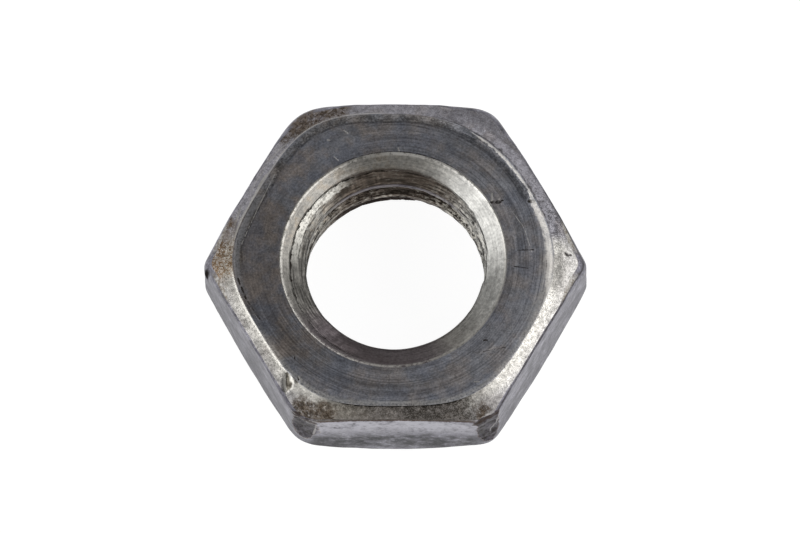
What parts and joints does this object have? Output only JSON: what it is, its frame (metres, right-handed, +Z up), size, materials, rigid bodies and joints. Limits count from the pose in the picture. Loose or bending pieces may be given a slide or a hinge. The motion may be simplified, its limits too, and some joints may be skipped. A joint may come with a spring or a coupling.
{
  "type": "jam nut",
  "caption": "Thin hexagon nut with a threaded bore, countersunk mouths and both faces chamfered; locks another nut or fixes a threaded rod.",
  "frame": {"origin": "centre of the underside, on the thread axis", "axes": "+Z up along the thread axis; +X through a corner of the hexagon; +Y square to one pair of spanner flats"},
  "size_m": [0.0216, 0.019, 0.006],
  "materials": {
    "worn_steel": "dark oxidised carbon steel, turned on the faces, rubbed bright on the chamfers and smeared grey on the flats, with brown rust"
  },
  "bodies": {
    "root": {"jam_nut": "worn_steel"}
  },
  "joints": []
}
